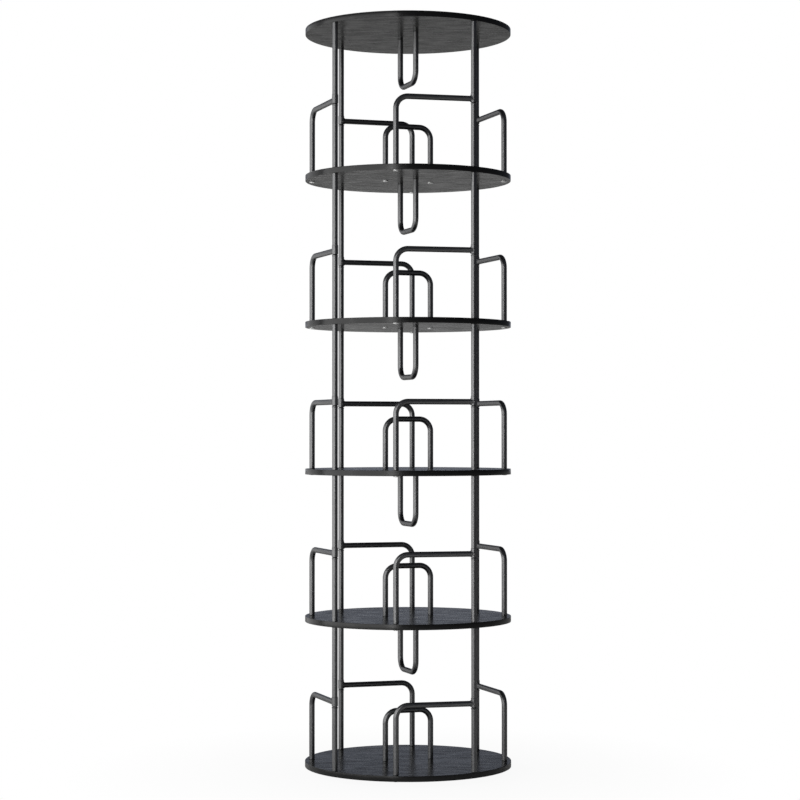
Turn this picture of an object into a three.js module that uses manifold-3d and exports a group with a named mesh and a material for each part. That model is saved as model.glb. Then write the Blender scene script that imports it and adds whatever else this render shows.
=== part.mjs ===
// A free-standing revolving bookcase. Six round boards stand one over another on four columns
// of welded side frames. Each side frame is an upright bar with a bent guard rod, and two small
// rod dividers sit in the middle of every shelf, one standing and one hanging. The whole tower
// turns on a ring bearing that is hidden under the lowest board.
// Millimetres, +Z up, +Y away from the viewer, origin on the floor under the turning axis.
import * as THREE from 'three';
import { mergeVertices } from 'three/addons/utils/BufferGeometryUtils.js';
import Module from 'manifold-3d';

const wasm = await Module();
wasm.setup();

// Boards
const boardDiameter = 450;
const boardThickness = 12;
const tierCount = 5;

// Bars and rods: one round steel section makes the uprights, the guards and the dividers
const rodDiameter = 12;
const rodBendRadius = 26;
const uprightLength = 308;
const lowestUprightLength = 302.5;
const uprightEdgeMargin = 1.2;
const guardLegEdgeMargin = 8.6;
const guardHeight = 144;
const guardSweepDegrees = 46.6;
const guardCollarLength = 24;
const guardCollarWall = 0.7;
const frontLeftDegrees = -135.5;
const frontRightDegrees = -50.5;
const backRightDegrees = 44.4;
const backLeftDegrees = 133.8;
const dividerWidth = 105;
const dividerHeight = 108.5;
const standingDividerDegrees = 20;
const hangingDividerDegrees = -71.5;

// Studs and screws
const studDiameter = 6;
const studEngagement = 12;
const legScrewDiameter = 5;
const legScrewHeadDiameter = 12;
const legScrewHeadHeight = 2.2;
const legScrewHeadCrownShare = 0.8;
const ringScrewDiameter = 4;
const ringScrewBite = 8;
const flatHeadWidthShare = 1.8;

// Ring bearing
const ringThickness = 8;
const topRingLift = 1;
const baseRingWidth = 26;
const topRingWidth = 24;
const ballDiameter = 4;
const ballCircleDiameter = 241;
const ballRunningGap = 0.4;
const ringHalfGap = 1.2;
const ballCount = 12;
const cageHeight = 2.4;
const cageThickness = 1.4;
const ringScrewCount = 4;
const padDiameter = 20;
const padThickness = 2.4;
const padCount = 6;

// Gap between two pieces that rest on each other, gap round a screw, and how far a cut runs on
const seatGap = 0.3;
const holeClearance = 0.3;
const cutOverrun = 1;

// Numbers of flat faces round each kind of round piece, and of steps in a quarter bend
const boardFacets = 56;
const ringFacets = 48;
const rodFacets = 10;
const screwFacets = 8;
const padFacets = 16;
const ballFacets = 6;
const ballRings = 4;
const bendSteps = 4;

// Where the four columns stand round the boards
const uprightDegrees = {
  front_left: frontLeftDegrees,
  front_right: frontRightDegrees,
  back_right: backRightDegrees,
  back_left: backLeftDegrees,
};

// Sizes that follow from the ones above
const boardRadius = boardDiameter / 2;
const rodRadius = rodDiameter / 2;
const uprightRadius = boardRadius - uprightEdgeMargin - rodRadius;
const guardLegRadius = boardRadius - guardLegEdgeMargin - rodRadius;
const ballCircleRadius = ballCircleDiameter / 2;
const baseRingInnerRadius = ballCircleRadius + ringHalfGap;
const baseRingOuterRadius = baseRingInnerRadius + baseRingWidth;
const topRingOuterRadius = ballCircleRadius - ringHalfGap;
const topRingInnerRadius = topRingOuterRadius - topRingWidth;
const ringScrewCircleRadius = (topRingInnerRadius + topRingOuterRadius) / 2;
const padCircleRadius = (baseRingInnerRadius + baseRingOuterRadius) / 2;
const baseRingBottom = padThickness + seatGap;
const topRingBottom = baseRingBottom + topRingLift;
const ballHeight = (baseRingBottom + topRingBottom + ringThickness) / 2;
const baseHeight = topRingBottom + ringThickness + seatGap;

function finish(color, roughness, metalness) {
  return new THREE.MeshStandardMaterial({ color, roughness, metalness });
}

const blackLaminate = finish(0x232323, 0.42, 0);
const blackPowderCoat = finish(0x1b1b1c, 0.35, 0.1);
const zincPlate = finish(0xc9cbcc, 0.3, 1);
const aluminium = finish(0xb4b6b8, 0.4, 1);
const nylon = finish(0xdad8cf, 0.5, 0);
const rubber = finish(0x1a1a1a, 0.85, 0);

// A three.js geometry as a closed solid that can be joined and cut
function toSolid(geometry) {
  const bare = geometry.clone();
  bare.deleteAttribute('normal');
  bare.deleteAttribute('uv');
  const merged = mergeVertices(bare);
  const corners = merged.index.array;
  const triangles = [];
  for (let i = 0; i < corners.length; i += 3) {
    const [a, b, c] = corners.slice(i, i + 3);
    if (a !== b && b !== c && c !== a) triangles.push(a, b, c);
  }
  return new wasm.Manifold(new wasm.Mesh({
    numProp: 3,
    vertProperties: Float32Array.from(merged.attributes.position.array),
    triVerts: Uint32Array.from(triangles),
  }));
}

function toGeometry(solid) {
  const { vertProperties, triVerts } = solid.getMesh();
  const geometry = new THREE.BufferGeometry();
  geometry.setAttribute('position', new THREE.BufferAttribute(vertProperties, 3));
  geometry.setIndex(new THREE.BufferAttribute(triVerts, 1));
  geometry.computeVertexNormals();
  return geometry;
}

function joined(...geometries) {
  return toGeometry(geometries.map(toSolid).reduce((whole, piece) => whole.add(piece)));
}

function cutBy(geometry, tools) {
  const cuts = tools.map(toSolid);
  return toGeometry(cuts.reduce((whole, cut) => whole.subtract(cut), toSolid(geometry)));
}

// A shape turned about Z from an outline of [radius, height] points
function turned(outline, facets) {
  const points = outline.map(([radius, height]) => new THREE.Vector2(radius, height));
  return new THREE.LatheGeometry(points, facets).rotateX(Math.PI / 2);
}

function roundBar(radius, bottom, top, facets) {
  return turned([[0, bottom], [radius, bottom], [radius, top], [0, top]], facets);
}

function onCircle(radius, degrees) {
  const angle = THREE.MathUtils.degToRad(degrees);
  return new THREE.Vector2(radius * Math.cos(angle), radius * Math.sin(angle));
}

// The centre line of a bent rod, with a station at each end and at each step round a bend
class RodLine extends THREE.Curve {
  constructor(stations) {
    super();
    this.stations = stations;
  }

  getPoint(t, target = new THREE.Vector3()) {
    const place = t * (this.stations.length - 1);
    const index = Math.min(Math.floor(place), this.stations.length - 2);
    return target.lerpVectors(this.stations[index], this.stations[index + 1], place - index);
  }

  getPointAt(u, target) {
    return this.getPoint(u, target);
  }

  getTangentAt(u, target) {
    return this.getTangent(u, target);
  }
}

// Stations along a line of square corners, each rounded to the rod's bend radius
function bentStations(corners) {
  const stations = [corners[0]];
  for (let i = 1; i < corners.length - 1; i += 1) {
    const back = corners[i - 1].clone().sub(corners[i]).setLength(rodBendRadius);
    const on = corners[i + 1].clone().sub(corners[i]).setLength(rodBendRadius);
    const centre = corners[i].clone().add(back).add(on);
    for (let step = 0; step <= bendSteps; step += 1) {
      const turn = (Math.PI / 2) * (step / bendSteps);
      const station = centre.clone().addScaledVector(on, -Math.cos(turn));
      stations.push(station.addScaledVector(back, -Math.sin(turn)));
    }
  }
  stations.push(corners[corners.length - 1]);
  return stations;
}

function bentRod(corners) {
  const line = new RodLine(bentStations(corners.map(([x, z]) => new THREE.Vector3(x, 0, z))));
  const section = new THREE.Shape();
  for (let i = 0; i < rodFacets; i += 1) {
    const angle = (2 * Math.PI * i) / rodFacets;
    const [x, y] = [rodRadius * Math.cos(angle), rodRadius * Math.sin(angle)];
    if (i === 0) section.moveTo(x, y);
    else section.lineTo(x, y);
  }
  section.closePath();
  return new THREE.ExtrudeGeometry(section, { steps: line.stations.length - 1, extrudePath: line });
}

// A countersunk screw, its flat face at height 0 and its shank down to -length
function flatHeadScrew(diameter, length) {
  const radius = diameter / 2;
  const headRadius = radius * flatHeadWidthShare;
  const headHeight = headRadius - radius;
  return turned([
    [0, -length],
    [radius, -length],
    [radius, -headHeight],
    [headRadius, 0],
    [0, 0],
  ], screwFacets);
}

// The radius of a hole whose flat faces, and not only its corners, clear what is in it
function holeRadius(radius) {
  return (radius + holeClearance) / Math.cos(Math.PI / screwFacets);
}

// The countersunk hole for such a screw, open above height 0 and down to -depth
function flatHeadHole(diameter, depth) {
  const radius = holeRadius(diameter / 2);
  const headRadius = holeRadius((diameter / 2) * flatHeadWidthShare);
  const headHeight = (diameter / 2) * (flatHeadWidthShare - 1);
  return turned([
    [0, -depth],
    [radius, -depth],
    [radius, -headHeight],
    [headRadius, 0],
    [headRadius, cutOverrun],
    [0, cutOverrun],
  ], screwFacets);
}

function plainHole(diameter, bottom, top) {
  return roundBar(holeRadius(diameter / 2), bottom, top, screwFacets);
}

// The low crowned screw under a board, with its shank up into the rod that stands at height 0
function legScrew() {
  const shank = legScrewDiameter / 2;
  const head = legScrewHeadDiameter / 2;
  const seat = -boardThickness - seatGap;
  return turned([
    [0, seat - legScrewHeadHeight],
    [head * legScrewHeadCrownShare, seat - legScrewHeadHeight],
    [head, seat],
    [shank, seat],
    [shank, rodRadius],
    [0, rodRadius],
  ], screwFacets);
}

// Where the guard's leg stands, seen from its upright
function guardLine(degrees) {
  const upright = onCircle(uprightRadius, degrees);
  const leg = onCircle(guardLegRadius, degrees - guardSweepDegrees);
  return { upright, leg, across: leg.clone().sub(upright) };
}

// A side frame: upright bar with the collar that the guard rod is welded to, the guard rod, and
// the screw that holds the guard's leg.
// Local +X runs from the upright to the leg, and height 0 is the face of the shelf.
function sideFrame(length, hasStud) {
  const span = guardLine(uprightDegrees.front_left).across.length();
  const top = seatGap + length;
  const bore = (bottom, height) => plainHole(studDiameter, bottom, height);
  const boreDepth = studEngagement + seatGap;
  const collarHalf = guardCollarLength / 2;
  const pieces = [
    roundBar(rodRadius, seatGap, top, rodFacets),
    roundBar(rodRadius + guardCollarWall, guardHeight - collarHalf, guardHeight + collarHalf, rodFacets),
    bentRod([[0, guardHeight], [span, guardHeight], [span, seatGap]]),
    legScrew().translate(span, 0, 0),
  ];
  const bores = [bore(seatGap - cutOverrun, seatGap + boreDepth)];
  if (hasStud) {
    const studTop = top + seatGap + boardThickness + seatGap + studEngagement;
    pieces.push(roundBar(studDiameter / 2, top - rodRadius, studTop, screwFacets));
  } else {
    bores.push(bore(top - boreDepth, top + cutOverrun));
  }
  return cutBy(joined(...pieces), bores);
}

// A divider that stands on a shelf, with both its screws. Height 0 is the face of the shelf.
function standingDivider() {
  const half = dividerWidth / 2;
  return joined(
    bentRod([[-half, seatGap], [-half, dividerHeight], [half, dividerHeight], [half, seatGap]]),
    legScrew().translate(-half, 0, 0),
    legScrew().translate(half, 0, 0),
  );
}

// The same divider hung under a board, whose flat-headed screws come down through the board.
// Height 0 is the underside of the board.
function hangingDivider() {
  const half = dividerWidth / 2;
  const screw = () => flatHeadScrew(legScrewDiameter, boardThickness + rodRadius);
  return joined(
    bentRod([[-half, -seatGap], [-half, -dividerHeight], [half, -dividerHeight], [half, -seatGap]]),
    screw().translate(-half, 0, boardThickness),
    screw().translate(half, 0, boardThickness),
  );
}

// Points of the holes in a board
const uprightPoints = Object.values(uprightDegrees).map((degrees) => guardLine(degrees).upright);
const guardLegPoints = Object.values(uprightDegrees).map((degrees) => guardLine(degrees).leg);
const ringScrewPoints = [];
for (let i = 0; i < ringScrewCount; i += 1) {
  ringScrewPoints.push(onCircle(ringScrewCircleRadius, (360 * i) / ringScrewCount));
}
const dividerPoints = (degrees) => (
  [degrees, degrees + 180].map((way) => onCircle(dividerWidth / 2, way))
);

const cutTop = boardThickness + cutOverrun;
const through = (diameter) => plainHole(diameter, -cutOverrun, cutTop);
const sunkFromAbove = (diameter) => flatHeadHole(diameter, cutTop).translate(0, 0, boardThickness);
const sunkFromBelow = (diameter) => flatHeadHole(diameter, cutTop).rotateX(Math.PI);
const at = (points, makeHole) => points.map((point) => makeHole().translate(point.x, point.y, 0));

// Holes for the guards and the standing divider of the shelf above a board's face
const standingHoles = () => at(
  [...guardLegPoints, ...dividerPoints(standingDividerDegrees)],
  () => through(legScrewDiameter),
);

// Holes for the hanging divider of the shelf below
const hangingHoles = () => at(
  dividerPoints(hangingDividerDegrees),
  () => sunkFromAbove(legScrewDiameter),
);

function board(holes) {
  return cutBy(roundBar(boardRadius, 0, boardThickness, boardFacets), holes);
}

const lowestBoard = board([
  ...at(uprightPoints, () => sunkFromBelow(studDiameter)),
  ...standingHoles(),
  ...at(ringScrewPoints, () => plainHole(ringScrewDiameter, -cutOverrun, ringScrewBite + seatGap)),
]);
const middleBoard = board([
  ...at(uprightPoints, () => through(studDiameter)),
  ...standingHoles(),
  ...hangingHoles(),
]);
const topBoard = board([
  ...at(uprightPoints, () => sunkFromAbove(studDiameter)),
  ...hangingHoles(),
]);

// The two rings of the bearing, each with a vee groove for the balls
const grooveReach = (ballDiameter / 2 + ballRunningGap) * Math.SQRT2;
const grooveHalfHeight = grooveReach - ringHalfGap;
const baseRing = turned([
  [baseRingInnerRadius, baseRingBottom],
  [baseRingOuterRadius, baseRingBottom],
  [baseRingOuterRadius, baseRingBottom + ringThickness],
  [baseRingInnerRadius, baseRingBottom + ringThickness],
  [baseRingInnerRadius, ballHeight + grooveHalfHeight],
  [ballCircleRadius + grooveReach, ballHeight],
  [baseRingInnerRadius, ballHeight - grooveHalfHeight],
  [baseRingInnerRadius, baseRingBottom],
], ringFacets);
const topRingBlank = turned([
  [topRingInnerRadius, topRingBottom],
  [topRingOuterRadius, topRingBottom],
  [topRingOuterRadius, ballHeight - grooveHalfHeight],
  [ballCircleRadius - grooveReach, ballHeight],
  [topRingOuterRadius, ballHeight + grooveHalfHeight],
  [topRingOuterRadius, topRingBottom + ringThickness],
  [topRingInnerRadius, topRingBottom + ringThickness],
  [topRingInnerRadius, topRingBottom],
], ringFacets);
const topRing = cutBy(topRingBlank, ringScrewPoints.map((point) => (
  flatHeadHole(ringScrewDiameter, ringThickness + cutOverrun)
    .rotateX(Math.PI)
    .translate(point.x, point.y, topRingBottom)
)));

// The cage with its balls snapped in
function ballCage() {
  const inner = ballCircleRadius - cageThickness / 2;
  const outer = ballCircleRadius + cageThickness / 2;
  const bottom = ballHeight - cageHeight / 2;
  const top = ballHeight + cageHeight / 2;
  const outline = [[inner, bottom], [outer, bottom], [outer, top], [inner, top], [inner, bottom]];
  const pieces = [turned(outline, ringFacets)];
  for (let i = 0; i < ballCount; i += 1) {
    const place = onCircle(ballCircleRadius, (360 * i) / ballCount);
    pieces.push(new THREE.SphereGeometry(ballDiameter / 2, ballFacets, ballRings)
      .rotateX(Math.PI / 2)
      .translate(place.x, place.y, ballHeight));
  }
  return joined(...pieces);
}

const bookcase = new THREE.Group();
const base = new THREE.Group();
const tower = new THREE.Group();
tower.position.z = baseHeight;
bookcase.add(base, tower);

function addPiece(parent, name, geometry, material) {
  const piece = new THREE.Mesh(geometry, material);
  piece.name = name;
  parent.add(piece);
  return piece;
}

// What stays on the floor, and the cage that rolls between the rings
addPiece(base, 'bearing_base_ring', baseRing, aluminium);
addPiece(base, 'bearing_ball_cage', ballCage(), nylon);
const rubberPad = roundBar(padDiameter / 2, 0, padThickness, padFacets);
for (let i = 0; i < padCount; i += 1) {
  const place = onCircle(padCircleRadius, (360 * (i + 1 / 2)) / padCount);
  addPiece(base, `rubber_pad_${i + 1}`, rubberPad, rubber).position.set(place.x, place.y, 0);
}

// The turning ring and its screws up into the lowest board
addPiece(tower, 'bearing_top_ring', topRing, aluminium).position.z = -baseHeight;
const ringScrew = flatHeadScrew(ringScrewDiameter, ringThickness + seatGap + ringScrewBite);
ringScrewPoints.forEach((point, i) => {
  const screw = addPiece(tower, `ring_screw_${i + 1}`, ringScrew, zincPlate);
  screw.rotation.x = Math.PI;
  screw.position.set(point.x, point.y, topRingBottom - baseHeight);
});

// One tier after another: its board, its four side frames and its two dividers
const lowestFrame = sideFrame(lowestUprightLength, true);
const middleFrame = sideFrame(uprightLength, true);
const highestFrame = sideFrame(uprightLength, false);
const standing = standingDivider();
const hanging = hangingDivider();
const columnBolt = flatHeadScrew(studDiameter, boardThickness + seatGap + studEngagement);

function addColumnBolts(height, word, isUpsideDown) {
  Object.keys(uprightDegrees).forEach((side, i) => {
    const bolt = addPiece(tower, `${word}_bolt_${side}`, columnBolt, zincPlate);
    if (isUpsideDown) bolt.rotation.x = Math.PI;
    bolt.position.set(uprightPoints[i].x, uprightPoints[i].y, height);
  });
}

function addSideFrames(tier, shape, shelfFace) {
  for (const [side, degrees] of Object.entries(uprightDegrees)) {
    const { upright, across } = guardLine(degrees);
    const frame = addPiece(tower, `side_frame_${tier}_${side}`, shape, blackPowderCoat);
    frame.position.set(upright.x, upright.y, shelfFace);
    frame.rotation.z = across.angle();
  }
}

addColumnBolts(0, 'bottom', true);
let boardBottom = 0;
for (let tier = 1; tier <= tierCount; tier += 1) {
  const isLowest = tier === 1;
  const isHighest = tier === tierCount;
  const length = isLowest ? lowestUprightLength : uprightLength;
  const shelfFace = boardBottom + boardThickness;
  const boardShape = isLowest ? lowestBoard : middleBoard;
  addPiece(tower, `shelf_board_${tier}`, boardShape, blackLaminate).position.z = boardBottom;

  const plainFrame = isHighest ? highestFrame : middleFrame;
  addSideFrames(tier, isLowest ? lowestFrame : plainFrame, shelfFace);

  const stander = addPiece(tower, `standing_divider_${tier}`, standing, blackPowderCoat);
  stander.position.z = shelfFace;
  stander.rotation.z = THREE.MathUtils.degToRad(standingDividerDegrees);
  boardBottom = shelfFace + length + 2 * seatGap;
  const hanger = addPiece(tower, `hanging_divider_${tier}`, hanging, blackPowderCoat);
  hanger.position.z = boardBottom;
  hanger.rotation.z = THREE.MathUtils.degToRad(hangingDividerDegrees);
}
addPiece(tower, 'top_board', topBoard, blackLaminate).position.z = boardBottom;
addColumnBolts(boardBottom + boardThickness, 'top', false);

export default bookcase;
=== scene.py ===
# A revolving bookcase: six round black boards held one over another by columns of welded side
# frames of bent rod, with two small rod dividers in the middle of every shelf. The whole tower
# turns on a ring bearing that is hidden under the lowest board.
# Metres, +Z up, +Y away from the viewer, origin on the floor under the turning axis.
from math import atan2, cos, hypot, pi, radians, sin

import bmesh
import bpy
from mathutils import Matrix, Vector


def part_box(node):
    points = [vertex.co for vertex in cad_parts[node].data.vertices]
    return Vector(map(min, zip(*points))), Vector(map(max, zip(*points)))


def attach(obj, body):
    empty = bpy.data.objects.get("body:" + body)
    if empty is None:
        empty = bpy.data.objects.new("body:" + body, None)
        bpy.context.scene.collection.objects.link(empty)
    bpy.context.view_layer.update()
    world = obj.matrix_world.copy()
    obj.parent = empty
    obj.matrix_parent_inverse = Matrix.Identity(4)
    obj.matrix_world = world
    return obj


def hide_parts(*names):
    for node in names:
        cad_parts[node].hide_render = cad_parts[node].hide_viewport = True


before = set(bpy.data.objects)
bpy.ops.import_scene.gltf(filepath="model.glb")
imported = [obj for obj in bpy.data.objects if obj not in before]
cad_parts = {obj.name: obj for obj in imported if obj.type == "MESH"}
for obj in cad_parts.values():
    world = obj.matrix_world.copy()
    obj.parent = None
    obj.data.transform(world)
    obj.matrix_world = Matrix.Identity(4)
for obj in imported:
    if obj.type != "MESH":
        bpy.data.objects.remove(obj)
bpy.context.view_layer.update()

MM = 0.001
TIERS = range(1, 6)
SIDES = {"front_left": -135.5, "front_right": -50.5, "back_right": 44.4, "back_left": 133.8}

# Base ring of the bearing: turned from aluminium plate, with a vee groove in its inner wall that
# is half of the ball race. It stands still on its rubber pads while the tower turns.
RING_FACETS = 144
RING_CHAMFER = 0.5 * MM
RACE_RADIUS = 120.5 * MM
RACE_HALF_GAP = 1.2 * MM
RACE_REACH = 3.4 * MM
TOOL_MARK_SPACING = 0.9 * MM
TOOL_MARK_DEPTH = 0.02 * MM
TOOL_MARK_STRENGTH = 0.6
TURNED_ROUGHNESS = (0.24, 0.4)
NOISE_LOW, NOISE_HIGH = 0.3, 0.7
SMOOTH_ANGLE = radians(35)
MERGE_DISTANCE = 0.001 * MM


def linear(colour):
    """The linear colour, with alpha, of an sRGB hex value."""
    channels = [int(colour[i:i + 2], 16) / 255 for i in (1, 3, 5)]
    return [c / 12.92 if c <= 0.04045 else ((c + 0.055) / 1.055) ** 2.4 for c in channels] + [1]


def add_node(tree, kind, inputs=None, **settings):
    """Adds a node, with its settings and with each input linked or set."""
    node = tree.nodes.new(kind)
    for name, value in settings.items():
        setattr(node, name, value)
    for socket, value in (inputs or {}).items():
        if isinstance(value, bpy.types.NodeSocket):
            tree.links.new(value, node.inputs[socket])
        else:
            node.inputs[socket].default_value = value
    return node


def new_material(name, colour, roughness, metallic=0.0):
    """A material whose one shader has these plain values, with its tree, shader and place."""
    material = bpy.data.materials.new(name)
    material.use_nodes = True
    material.diffuse_color = linear(colour)
    tree = material.node_tree
    tree.nodes.clear()
    shader = add_node(tree, "ShaderNodeBsdfPrincipled", {
        "Base Color": linear(colour),
        "Roughness": roughness,
        "Metallic": metallic,
    })
    add_node(tree, "ShaderNodeOutputMaterial", {"Surface": shader.outputs["BSDF"]})
    return material, tree, shader, add_node(tree, "ShaderNodeTexCoord").outputs["Object"]


def vary_roughness(tree, shader, noise, smooth, rough):
    """Lets the roughness follow noise, nearly all of which is in the middle of its range."""
    roughness = add_node(tree, "ShaderNodeMapRange", {
        "Value": noise,
        "From Min": NOISE_LOW,
        "From Max": NOISE_HIGH,
        "To Min": smooth,
        "To Max": rough,
    })
    tree.links.new(roughness.outputs["Result"], shader.inputs["Roughness"])


def raise_surface(tree, shader, height, depth, strength):
    """Gives the shader the bumps of this height pattern."""
    bump = add_node(tree, "ShaderNodeBump", {
        "Height": height,
        "Distance": depth,
        "Strength": strength,
    })
    tree.links.new(bump.outputs["Normal"], shader.inputs["Normal"])


# Aluminium off the lathe: bright grey-white, with rings of tool marks that catch the light. The
# marks are about 0.2 mm apart, too fine to show, and are drawn 0.9 mm apart.
turned_aluminium, tree, shader, place = new_material(
    "turned_aluminium", "#b9bbbd", roughness=0.3, metallic=1.0)
flat = add_node(tree, "ShaderNodeVectorMath", {0: place, 1: (1, 1, 0)}, operation="MULTIPLY")
radius = add_node(tree, "ShaderNodeVectorMath", {0: flat.outputs[0]}, operation="LENGTH")
marks = add_node(tree, "ShaderNodeTexNoise", noise_dimensions="1D", inputs={
    "W": radius.outputs["Value"],
    "Scale": 1 / TOOL_MARK_SPACING,
    "Detail": 2.0,
}).outputs["Fac"]
vary_roughness(tree, shader, marks, *TURNED_ROUGHNESS)
raise_surface(tree, shader, marks, TOOL_MARK_DEPTH, TOOL_MARK_STRENGTH)


def shade(mesh):
    mesh.shade_smooth()
    mesh.set_sharp_from_angle(angle=SMOOTH_ANGLE)


def new_object(name, mesh):
    piece = bpy.data.objects.new(name, mesh)
    bpy.context.scene.collection.objects.link(piece)
    return piece


def turned(name, outline, facets, material):
    """A shape turned about Z from (radius, height) points: a ring, or solid from axis to axis."""
    shape = bmesh.new()
    line = [shape.verts.new((radius, 0, height)) for radius, height in outline]
    edges = [shape.edges.new(pair) for pair in zip(line, line[1:])]
    if outline[0][0] > 0:
        edges.append(shape.edges.new((line[-1], line[0])))
    bmesh.ops.spin(shape, geom=line + edges, axis=(0, 0, 1), steps=facets, angle=2 * pi)
    bmesh.ops.remove_doubles(shape, verts=shape.verts, dist=MERGE_DISTANCE)
    bmesh.ops.recalc_face_normals(shape, faces=shape.faces)
    mesh = bpy.data.meshes.new(name)
    shape.to_mesh(mesh)
    shape.free()
    mesh.materials.append(material)
    shade(mesh)
    return new_object(name, mesh)


def hand_over(piece, body, slot, *nodes):
    """The piece rides on the body, and the nodes that it stands for are hidden. The slot is not
    used.
    """
    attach(piece, body)
    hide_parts(*nodes)


def ring_outline(inner, outer, bottom, top):
    """A ring section with chamfered edges, in two halves: along its foot and along its head."""
    c = RING_CHAMFER
    foot = [(inner, bottom + c), (inner + c, bottom), (outer - c, bottom), (outer, bottom + c)]
    head = [(outer, top - c), (outer - c, top), (inner + c, top), (inner, top - c)]
    return foot, head


base_low, base_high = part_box("bearing_base_ring")
top_low, top_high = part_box("bearing_top_ring")
race_height = (base_low.z + top_high.z) / 2
groove = RACE_REACH - RACE_HALF_GAP
inner = RACE_RADIUS + RACE_HALF_GAP
foot, head = ring_outline(inner, base_high.x, base_low.z, base_high.z)
base_ring = turned("floor_ring", foot + head + [
    (inner, race_height + groove),
    (RACE_RADIUS + RACE_REACH, race_height),
    (inner, race_height - groove),
], RING_FACETS, turned_aluminium)
hand_over(base_ring, "base", "bearing_aluminium", "bearing_base_ring")

# Rubber pads: six moulded discs of black rubber with rounded edges, glued under the base ring so
# that it neither slips on the floor nor marks it.
PAD_COUNT = 6
PAD_FACETS = 40
PAD_EDGE_RADIUS = 0.8 * MM
PAD_GRAIN = 1.2 * MM
PAD_GRAIN_DEPTH = 0.08 * MM
PAD_GRAIN_STRENGTH = 0.5
ROUNDING_STEPS = 4
UPWARD, DOWNWARD = (0, 0, 0), (pi, 0, 0)


def patches(tree, place, sizes, detail=2.0):
    """A noise pattern whose patches are about this large along X, Y and Z."""
    stretched = add_node(tree, "ShaderNodeMapping", {
        "Vector": place,
        "Scale": [1 / size for size in sizes],
    })
    noise = add_node(tree, "ShaderNodeTexNoise", {
        "Vector": stretched.outputs["Vector"],
        "Scale": 1.0,
        "Detail": detail,
    })
    return noise.outputs["Fac"]


def vary_colour(tree, shader, pattern, first, second):
    """Lets the colour follow a pattern from one linear colour to another."""
    mix = add_node(tree, "ShaderNodeMix", {0: pattern, 6: first, 7: second}, data_type="RGBA")
    tree.links.new(mix.outputs[2], shader.inputs["Base Color"])


# Moulded rubber: matt near-black, with a faint grain from the mould about 1 mm across.
moulded_rubber, tree, shader, place = new_material(
    "moulded_black_rubber", "#1c1c1c", roughness=0.8)
grain = patches(tree, place, [PAD_GRAIN] * 3)
vary_colour(tree, shader, grain, linear("#171717"), linear("#242423"))
raise_surface(tree, shader, grain, PAD_GRAIN_DEPTH, PAD_GRAIN_STRENGTH)


def new_geometry_tree(name, sockets):
    """A Geometry Nodes tree with these named inputs, its input node and their identifiers."""
    tree = bpy.data.node_groups.new(name, "GeometryNodeTree")
    tree.interface.new_socket("Geometry", in_out="INPUT", socket_type="NodeSocketGeometry")
    tree.interface.new_socket("Geometry", in_out="OUTPUT", socket_type="NodeSocketGeometry")
    identifiers = {}
    for label, kind in sockets.items():
        socket = tree.interface.new_socket(label, in_out="INPUT", socket_type=kind)
        identifiers[label] = socket.identifier
    return tree, add_node(tree, "NodeGroupInput").outputs, identifiers


def end_tree(tree, geometry, material):
    """Ends a tree in real meshes with this material."""
    real = add_node(tree, "GeometryNodeRealizeInstances", {"Geometry": geometry})
    finished = add_node(tree, "GeometryNodeSetMaterial", {
        "Geometry": real.outputs["Geometry"],
        "Material": material,
    })
    add_node(tree, "NodeGroupOutput", {"Geometry": finished.outputs["Geometry"]})


def keep_result(piece):
    """Turns what the piece's modifiers make into its own mesh."""
    graph = bpy.context.evaluated_depsgraph_get()
    mesh = bpy.data.meshes.new_from_object(piece.evaluated_get(graph))
    mesh.name = piece.name
    piece.modifiers.clear()
    piece.data = mesh
    shade(mesh)


def grow(piece, tree, identifiers, values):
    """Runs the tree on the piece with these inputs, and keeps the result as its plain mesh."""
    modifier = piece.modifiers.new(tree.name, "NODES")
    modifier.node_group = tree
    for label, value in values.items():
        modifier[identifiers[label]] = value
    keep_result(piece)


# The tree puts one like piece at each point, turned the way that the point says and then by a
# chance angle about its own axis, as screws are when they are driven home.
copy_tree, given, COPY_INPUTS = new_geometry_tree("Like pieces at points", {
    "Pattern": "NodeSocketObject",
    "Chance turn": "NodeSocketFloat",
    "Seed": "NodeSocketInt",
    "Finish": "NodeSocketMaterial",
})
pattern = add_node(copy_tree, "GeometryNodeObjectInfo", {"Object": given["Pattern"]})
way = add_node(copy_tree, "GeometryNodeInputNamedAttribute", {"Name": "way"},
               data_type="FLOAT_VECTOR")
chance = add_node(copy_tree, "FunctionNodeRandomValue", {
    3: given["Chance turn"],
    8: given["Seed"],
}, data_type="FLOAT")
spin = add_node(copy_tree, "ShaderNodeCombineXYZ", {"Z": chance.outputs[1]})
turn = add_node(copy_tree, "ShaderNodeVectorMath", {0: way.outputs[0], 1: spin.outputs[0]})
copies = add_node(copy_tree, "GeometryNodeInstanceOnPoints", {
    "Points": given["Geometry"],
    "Instance": pattern.outputs["Geometry"],
    "Rotation": turn.outputs[0],
})
end_tree(copy_tree, copies.outputs["Instances"], given["Finish"])


def copies_at(name, pattern, places, material, chance_turn=0.0, seed=0):
    """One mesh with the pattern at each place, a point and a way. The pattern is then removed."""
    mesh = bpy.data.meshes.new(name)
    mesh.from_pydata([point for point, _ in places], [], [])
    ways = [angle for _, way in places for angle in way]
    mesh.attributes.new("way", "FLOAT_VECTOR", "POINT").data.foreach_set("vector", ways)
    piece = new_object(name, mesh)
    grow(piece, copy_tree, COPY_INPUTS, {
        "Pattern": pattern,
        "Chance turn": chance_turn,
        "Seed": seed,
        "Finish": material,
    })
    bpy.data.objects.remove(pattern)
    return piece


def rounded_edge(radius, height, rounding, way):
    """Outline points from a side round on to a flat face at this height that faces up or down."""
    steps = [pi / 2 * step / ROUNDING_STEPS for step in range(ROUNDING_STEPS + 1)]
    return [
        (radius - rounding + rounding * cos(a), height - way * rounding * (1 - sin(a)))
        for a in steps
    ]


def on_circle(radius, angle):
    return Vector((radius * cos(angle), radius * sin(angle)))


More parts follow.
